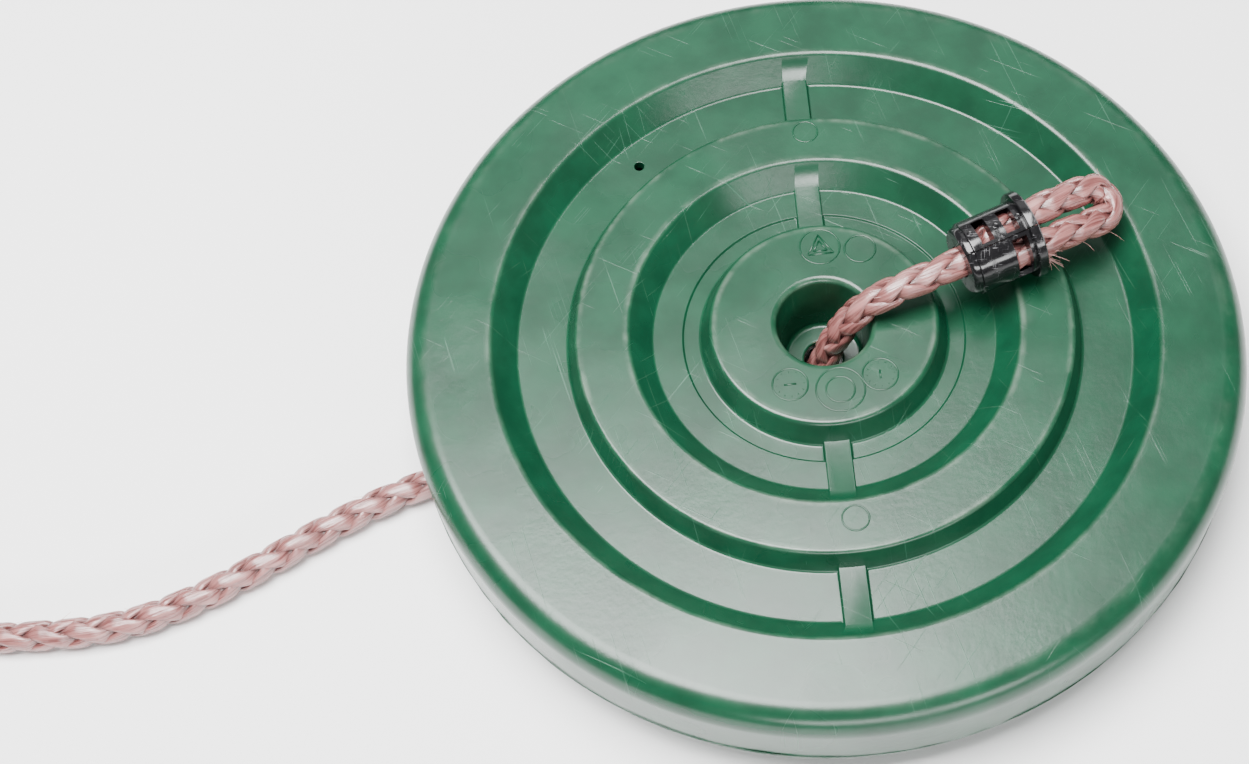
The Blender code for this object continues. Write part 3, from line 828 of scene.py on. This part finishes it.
def clamp_body(name, side, body, material):
    """Solid half of a clamp, from a half disc at each station along its axis."""
    half_gap = CLAMP_SPLIT_GAP / 2.0
    stations = [
        (CLAMP_START, body - 1.9 * MM),
        (CLAMP_START + 0.5 * MM, body - 1.3 * MM),
        (CLAMP_START + 1.5 * MM, body - 0.9 * MM),
        (CLAMP_START + 2.6 * MM, body - 0.8 * MM),
        (CLAMP_START + 2.8 * MM, body - 0.15 * MM),
        (CLAMP_START + 3.1 * MM, body),
        (CLAMP_FLANGE_START, body),
        (CLAMP_FLANGE_START + 0.2 * MM, CLAMP_FLANGE_RADIUS - 0.3 * MM),
        (CLAMP_FLANGE_START + 0.6 * MM, CLAMP_FLANGE_RADIUS),
        (CLAMP_END - 0.5 * MM, CLAMP_FLANGE_RADIUS),
        (CLAMP_END, CLAMP_FLANGE_RADIUS - 0.5 * MM),
    ]
    steps = 48
    points = []
    for along, radius in stations:
        for step in range(steps + 1):
            angle = pi * step / steps - pi / 2.0
            across = max(radius * cos(angle), half_gap)
            points.append((along, side * across, side * radius * sin(angle)))
    count = steps + 1
    faces = [tuple(range(count - 1, -1, -1))]
    faces.append(tuple(range((len(stations) - 1) * count, len(stations) * count)))
    for station in range(len(stations) - 1):
        here = station * count
        for index in range(count):
            following = (index + 1) % count
            faces.append((here + index, here + following, here + count + following,
                          here + count + index))
    return mesh_object(name, points, faces, material)


def cut_clamp(half, side, windows):
    """Cut the leg's channel, the neck's hole and the windows out of a half."""
    channel = []
    for step in range(25):
        angle = pi * step / 24.0 - pi / 2.0
        channel.append((side * (LEG_OFFSET + CHANNEL_RADIUS * cos(angle)),
                        side * CHANNEL_RADIUS * sin(angle)))
    channel.append((-side * 2.0 * MM, side * CHANNEL_RADIUS))
    channel.append((-side * 2.0 * MM, -side * CHANNEL_RADIUS))
    boolean(half, prism("channel", channel, CLAMP_START + 3.2 * MM, CLAMP_END + 1.0 * MM),
            "DIFFERENCE")
    neck = [(CHANNEL_RADIUS * cos(pi * step / 24.0), CHANNEL_RADIUS * sin(pi * step / 24.0))
            for step in range(48)]
    boolean(half, prism("neck", neck, CLAMP_START - 1.0 * MM, CLAMP_START + 6.0 * MM),
            "DIFFERENCE")
    for start, end, inner, outer, lowest in windows:
        low = min(side * inner, side * outer)
        high = max(side * inner, side * outer)
        boolean(half, box("window", (start, low, lowest), (end, high, 18.0 * MM)), "DIFFERENCE")


def ejector_mark(along, across, body):
    """A thin ring and a short tick on the outside of a half, at a distance across from the split."""
    rise = (body ** 2 - across ** 2) ** 0.5
    outward = Vector((0.0, across, rise)).normalized()
    turn = Vector((0.0, 0.0, 1.0)).rotation_difference(outward).to_matrix().to_4x4()
    ring = tube("ejector", ring_points((0.0, 0.0), 0.85 * MM, 32, 0.0), 0.16 * MM, 8, closed=True)
    tick = tube("tick", [Vector((0.2 * MM, -0.6 * MM, 0.0)), Vector((0.6 * MM, -0.1 * MM, 0.0))],
                0.14 * MM, 6)
    for piece in (ring, tick):
        piece.data.transform(Matrix.Translation((along, across, rise)) @ turn)
    return [ring, tick]


def clamp_half(name, side, windows, marks, matrix, material):
    """Half of a clamp: side 1 holds one leg of the rope and side -1 the other."""
    body = CLAMP_RADIUS - (0.3 * MM if side > 0 else 0.0)
    half = clamp_body(name, side, body, material)
    cut_clamp(half, side, windows)
    bevel_edges(half, 0.28 * MM, 38.0)
    apply_modifiers(half)
    pieces = [half]
    for along, across in marks:
        pieces += ejector_mark(along, across, body)
    half = join_meshes(name, pieces, material)
    half.data.set_sharp_from_angle(angle=radians(40.0))
    weight_normals(half)
    half.matrix_world = matrix
    return half


def make_clamp(prefix, matrix, material):
    """The two halves of a clamp, in place of the CAD's."""
    window_half = clamp_half(prefix + "_window_half_shell", 1, SMALL_WINDOWS, EJECTOR_MARKS, matrix,
                             material)
    plain_half = clamp_half(prefix + "_plain_half_shell", -1, TALL_WINDOW, [], matrix, material)
    for half, node_name in ((window_half, "_window_half"), (plain_half, "_plain_half")):
        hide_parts(prefix + node_name)
        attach(half, "rope")
    return [window_half, plain_half]


# ---------------------------------------------------------------- rope

def loop_points(matrix, loop, droop, bend):
    """The rope's loop from the neck, round the crown and back to the cut end inside the clamp."""
    radius, centre = loop
    leg = list(LOOP_LEG)
    for step in range(1, 4):
        share = step / 4.0
        leg.append((CLAMP_END + (centre - CLAMP_END) * share,
                    LEG_OFFSET + (radius - LEG_OFFSET) * share * share * (3.0 - 2.0 * share)))
    outline = list(leg)
    for step in range(7):
        angle = pi / 2.0 - pi * step / 6.0
        outline.append((centre + radius * cos(angle), radius * sin(angle)))
    outline += [(along, -across) for along, across in reversed(leg) if along > TAIL_START]
    outline.append((TAIL_START, -LEG_OFFSET))
    reach = centre + radius - CLAMP_END
    points = []
    for along, across in outline:
        free = max(0.0, along - CLAMP_END)
        point = matrix @ Vector((along, across + bend * free, 0.0))
        point.z -= droop * (free / reach) ** 1.3
        points.append(point)
    return points


def coil_points():
    """The turns of the coil, from where the floor route meets it to where the lead leaves it."""
    points = []
    steps = int(COIL_TURNS * COIL_POINTS_PER_TURN)
    for step in range(steps + 1):
        turn = COIL_TURNS * step / steps
        radius, height = COIL_START
        for start, end, new_radius, new_height in COIL_CHANGES:
            share = min(1.0, max(0.0, (turn - start) / (end - start)))
            share = share * share * (3.0 - 2.0 * share)
            radius += (new_radius - radius) * share
            height += (new_height - height) * share
        angle = radians(-90.0) - 2.0 * pi * turn
        points.append(Vector((COIL_CENTRE[0] + radius * cos(angle),
                              COIL_CENTRE[1] + radius * sin(angle), height)))
    return points


def rope_route():
    stop_end = loop_points(STOP_CLAMP_MATRIX, STOP_LOOP, LOOP_DROOP, LOOP_BEND)
    stop_end.reverse()
    eye_end = loop_points(EYE_CLAMP_MATRIX, EYE_LOOP, 0.0, 0.0)
    return stop_end + NECK_ROUTE + FLOOR_ROUTE + coil_points() + LEAD_ROUTE + eye_end


def rope_centreline():
    """Even points along the route: close together where the camera looks, wider in the coil."""
    dense = smooth_route(rope_route(), 0.5 * MM)
    kept = [dense[0]]
    walked = 0.0
    for before, after in zip(dense, dense[1:]):
        walked += (after - before).length
        spacing = 1.0 * MM if after.x > ROPE_SEEN_FROM else 2.0 * MM
        if walked >= spacing:
            kept.append(after)
            walked = 0.0
    kept[-1] = dense[-1]
    return kept


def face_turn(distance):
    """Angle of the side with right-turning strands at a distance along the rope, in radians."""
    for (start, before), (end, after) in zip(FACE_TURNS, FACE_TURNS[1:]):
        if distance <= end:
            share = (distance - start) / (end - start)
            return radians(before + (after - before) * share)
    return radians(FACE_TURNS[-1][1])


def strand_sections(centre, along, frames, number, direction):
    """(middle, outward, sideways, lift) of one strand at each point of the rope's middle line.

    The direction is 1 for a right-turning strand and -1 for a left-turning one.  The lift goes from
    1, on top of the others, to -1, under them.
    """
    sections = []
    for point, distance, (_, normal, binormal) in zip(centre, along, frames):
        swing = direction * 2.0 * pi * distance / PLAIT_LENGTH + number * pi / 2.0 + pi / 8.0
        ramp = direction * min(1.0, max(-1.0, 1.35 * cos(2.0 * swing)))
        lift = sin(ramp * pi / 2.0)
        angle = swing + face_turn(distance)
        outward = normal * cos(angle) + binormal * sin(angle)
        sideways = binormal * cos(angle) - normal * sin(angle)
        sections.append((point + outward * (STRAND_MIDDLE + STRAND_SWING * lift), outward, sideways,
                         lift))
    return sections


def make_rope(material):
    """Eight plaited strands.  Each is a flattened tube with a map of its own for its fibres."""
    centre = rope_centreline()
    along = distances(centre)
    frames = transported_frames(centre)
    rows, sides = len(centre), STRAND_SIDES
    points, faces, crevice_shades, map_points = [], [], [], []
    for strand in range(8):
        direction = 1.0 if strand < 4 else -1.0
        first = len(points)
        for middle, outward, sideways, lift in strand_sections(centre, along, frames, strand % 4,
                                                               direction):
            width = STRAND_HALF_WIDTH * (1.0 - 0.12 * max(0.0, -lift))
            for side in range(sides):
                angle = 2.0 * pi * side / sides
                points.append(middle + outward * STRAND_HALF_THICKNESS * cos(angle)
                              + sideways * width * sin(angle))
                # Painted shade: how far each point is darkened, more on a strand's sides and where it
                # passes under the others
                crevice_shades.append(min(1.0, max(0.0, 0.55 - 0.75 * cos(angle) * (0.5 + 0.5 * lift)
                                            - 0.35 * lift)))
        for row in range(rows - 1):
            here = first + row * sides
            there = here + sides
            for side in range(sides):
                following = (side + 1) % sides
                faces.append((here + side, here + following, there + following, there + side))
                corners = ((side, row), (side + 1, row), (side + 1, row + 1), (side, row + 1))
                for at_side, at_row in corners:
                    share = at_side / sides - (1.0 if side >= sides // 2 else 0.0)
                    across = share * 2.0 * pi * 0.5 * (STRAND_HALF_THICKNESS + STRAND_HALF_WIDTH)
                    map_points.append((across + direction * FIBRE_SLOPE * along[at_row] + strand * 0.37,
                                       along[at_row]))
        for end_row, order in ((0, range(sides - 1, -1, -1)), (rows - 1, range(sides))):
            faces.append(tuple(first + end_row * sides + side for side in order))
            map_points += [(side / sides * 10.0 * MM, along[end_row]) for side in order]
    rope = mesh_object("rope_strands", points, faces, material)
    mesh = rope.data
    layer = mesh.uv_layers.new(name="strand")
    layer.data.foreach_set("uv", [value for pair in map_points for value in pair])
    # The painted crevice shade is stored on each point for the material
    attribute = mesh.attributes.new("painted_crevice_shade", "FLOAT", "POINT")
    attribute.data.foreach_set("value", crevice_shades)
    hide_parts("rope_stop_end", "rope_main", "rope_coil", "rope_eye_end")
    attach(rope, "rope")
    return rope, centre


def stray_fibre(draw, start, direction, length):
    """One thin hair, which starts inside the rope and bends down a little towards its tip."""
    points = []
    bend = Vector((draw.uniform(-0.5, 0.5), draw.uniform(-0.5, 0.5), draw.uniform(-0.7, 0.1)))
    for step in range(7):
        share = step / 6.0
        point = start + (direction + bend * share) * (length * share)
        point.z = max(point.z, STRAY_RADIUS)
        points.append(point)
    return tube("hair", points, STRAY_RADIUS, 5, taper=[1.0 - 0.1 * step for step in range(7)])


def make_stray_fibres(centre, material):
    """Frayed ends where the cut end meets the clamp, and single hairs along the rope."""
    draw = random.Random(5)
    hairs = []
    turn = STOP_CLAMP_MATRIX.to_3x3()
    for _ in range(FRAYED_ENDS):
        across = -LEG_OFFSET - draw.uniform(0.0, 3.6) * MM
        height = draw.uniform(-3.2, 2.6) * MM
        start = STOP_CLAMP_MATRIX @ Vector((CLAMP_END - 1.0 * MM, across, height))
        direction = turn @ Vector((1.0, draw.uniform(-1.0, -0.1), draw.uniform(-0.5, 0.5)))
        hairs.append(stray_fibre(draw, start, direction.normalized(), draw.uniform(4.0, 8.5) * MM))
    frames = transported_frames(centre)
    seen = [index for index, point in enumerate(centre) if point.x > ROPE_SEEN_FROM]
    for _ in range(SINGLE_HAIRS):
        index = draw.choice(seen[20:-20])
        tangent, normal, binormal = frames[index]
        angle = draw.uniform(0.0, 2.0 * pi)
        outward = normal * cos(angle) + binormal * sin(angle)
        direction = (tangent * draw.choice((-1.0, 1.0)) + outward * 0.35).normalized()
        hairs.append(stray_fibre(draw, centre[index] + outward * 4.0 * MM, direction,
                                 draw.uniform(3.0, 7.0) * MM))
    fibres = join_meshes("rope_stray_fibres", hairs, material)
    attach(fibres, "rope")
    return fibres


def hair_material():
    """Pale single fibres, whose tone changes from one to the next."""
    material, tree, shader = new_material("rose_fibre_ends")
    place = node(tree, "ShaderNodeTexCoord").outputs["Object"]
    tone = noise(tree, place, 900.0, detail=2.0)
    tree.links.new(mix_colour(tree, tone, ROSE_LIGHT, ROSE_PALE), shader.inputs["Base Color"])
    shader.inputs["Roughness"].default_value = 0.4
    return material


# ---------------------------------------------------------------- ring and coil ties

def make_hanging_ring(material):
    """A welded ring of round wire.  Its near side is in the rope's eye, its far side on the floor."""
    points, faces = [], []
    around, sides = 144, 28
    for step in range(around):
        angle = 2.0 * pi * step / around
        from_weld = min(abs(angle - pi / 3.0), 2.0 * pi - abs(angle - pi / 3.0)) * RING_RADIUS
        bulge = 0.35 * MM * max(0.0, 1.0 - (from_weld / (2.2 * MM)) ** 2)
        for side in range(sides):
            turn = 2.0 * pi * side / sides
            wire = RING_WIRE_RADIUS + bulge
            reach = RING_RADIUS + wire * cos(turn)
            points.append((reach * cos(angle), reach * sin(angle) + RING_RADIUS, wire * sin(turn)))
    for step in range(around):
        here = step * sides
        there = (step + 1) % around * sides
        for side in range(sides):
            following = (side + 1) % sides
            faces.append((here + side, there + side, there + following, here + following))
    ring = mesh_object("hanging_ring_wire", points, faces, material)
    pivot = EYE_CLAMP_MATRIX @ Vector((EYE_LOOP[1], 0.0, 0.0))
    lean = asin((pivot.z - RING_WIRE_RADIUS) / (2.0 * RING_RADIUS))
    ring.matrix_world = Matrix.Translation(pivot) @ Matrix.Rotation(-lean, 4, "X")
    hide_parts("hanging_ring")
    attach(ring, "ring")
    return ring


def finish_ties(material):
    """The CAD's cable ties, with rounded edges and a moulded nylon finish."""
    ties = []
    for number in (1, 2):
        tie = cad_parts[f"coil_tie_{number}"]
        tie.data.materials.clear()
        tie.data.materials.append(material)
        bevel_edges(tie, 0.3 * MM, 40.0)
        ties.append(tie)
    return ties


# ---------------------------------------------------------------- stage

def make_camera():
    data = bpy.data.cameras.new("camera")
    data.sensor_fit = "HORIZONTAL"
    data.sensor_width = 36.0
    data.lens = LENS
    data.shift_x = SHIFT_X
    data.clip_start = 0.02
    camera = bpy.data.objects.new("camera", data)
    bpy.context.collection.objects.link(camera)
    camera.matrix_world = (
        Matrix.Translation(CAMERA_PLACE)
        @ Matrix.Rotation(radians(90.0 - CAMERA_DOWN), 4, "X")
        @ Matrix.Rotation(radians(CAMERA_ROLL), 4, "Z")
    )
    bpy.context.scene.camera = camera


def area_light(name, place, target, size, power):
    data = bpy.data.lights.new(name, "AREA")
    data.shape = "RECTANGLE"
    data.size, data.size_y = size
    data.energy = power
    light = bpy.data.objects.new(name, data)
    bpy.context.collection.objects.link(light)
    light.location = place
    light.rotation_euler = (Vector(target) - Vector(place)).to_track_quat("-Z", "Y").to_euler()


def make_stage():
    corners = [(-4.0, -4.0, 0.0), (4.0, -4.0, 0.0), (4.0, 4.0, 0.0), (-4.0, 4.0, 0.0)]
    floor = mesh_object("floor", corners, [(0, 1, 2, 3)], floor_paint(), smooth=False)
    world = bpy.data.worlds.new("studio")
    bpy.context.scene.world = world
    world.use_nodes = True
    background = world.node_tree.nodes["Background"]
    background.inputs["Color"].default_value = (1.0, 1.0, 1.0, 1.0)
    background.inputs["Strength"].default_value = WORLD_STRENGTH
    for name, place, target, size, radiance in LIGHTS:
        area_light(name, place, target, size, radiance * pi * size[0] * size[1])


# ---------------------------------------------------------------- build

def build():
    make_camera()
    black = black_plastic("black_polypropylene_detail", 0.12, 0.3)
    nylon = black_plastic("black_nylon_detail", 0.30, 0.25)
    rope_material = rope_fibres()
    rope, centre = make_rope(rope_material)
    stop_clamp = make_clamp("stop_clamp", STOP_CLAMP_MATRIX, black)
    eye_clamp = make_clamp("eye_clamp", EYE_CLAMP_MATRIX, black)
    stray_fibres = make_stray_fibres(centre, hair_material())
    ties = finish_ties(nylon)
    ring = make_hanging_ring(zinc_steel())

    green = green_plastic()
    make_seat(green)
    make_moulded_marks(green)
    make_parting_flash(green)
    make_stage()


build()
